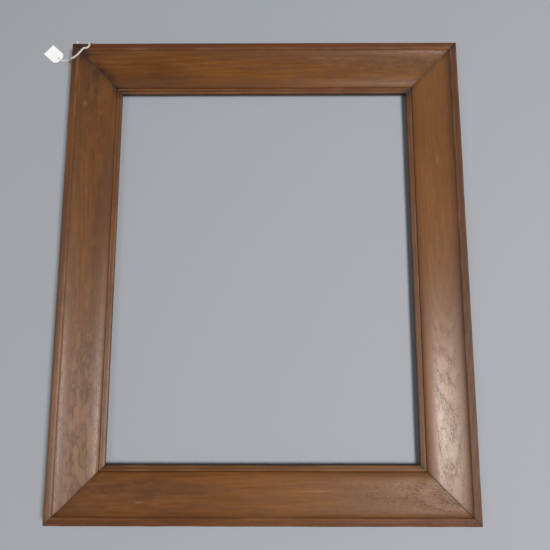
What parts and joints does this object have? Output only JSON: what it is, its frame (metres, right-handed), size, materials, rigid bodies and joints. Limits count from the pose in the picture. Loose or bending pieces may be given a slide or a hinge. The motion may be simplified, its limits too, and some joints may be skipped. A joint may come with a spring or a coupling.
{
  "type": "picture frame",
  "caption": "Empty dark oak picture frame with a wide stepped and rounded moulding, mitred corners, a narrow sight slip and a small price tag on a cotton thread.",
  "frame": {"origin": "under the middle of the frame, on the plane of its back, which is the surface it lies on", "axes": "+Z out of the front face, +Y along the side rails towards the top rail, +X along the bottom rail to the right"},
  "size_m": [0.5831, 0.6513, 0.0274],
  "materials": {
    "oak": "satin",
    "oak_slip": "satin",
    "nail": "matte",
    "card": "matte",
    "cotton": "matte"
  },
  "bodies": {
    "root": {"rail_bottom": "oak", "rail_right": "oak", "rail_top": "oak", "rail_left": "oak", "slip_bottom": "oak_slip", "slip_right": "oak_slip", "slip_top": "oak_slip", "slip_left": "oak_slip", "nail_bottom_left_end": "nail", "nail_bottom_left_side": "nail", "nail_bottom_right_end": "nail", "nail_bottom_right_side": "nail", "nail_top_left_end": "nail", "nail_top_left_side": "nail", "nail_top_right_end": "nail", "nail_top_right_side": "nail", "price_tag": "card", "tag_string": "cotton", "string_knot": "cotton"}
  },
  "joints": []
}
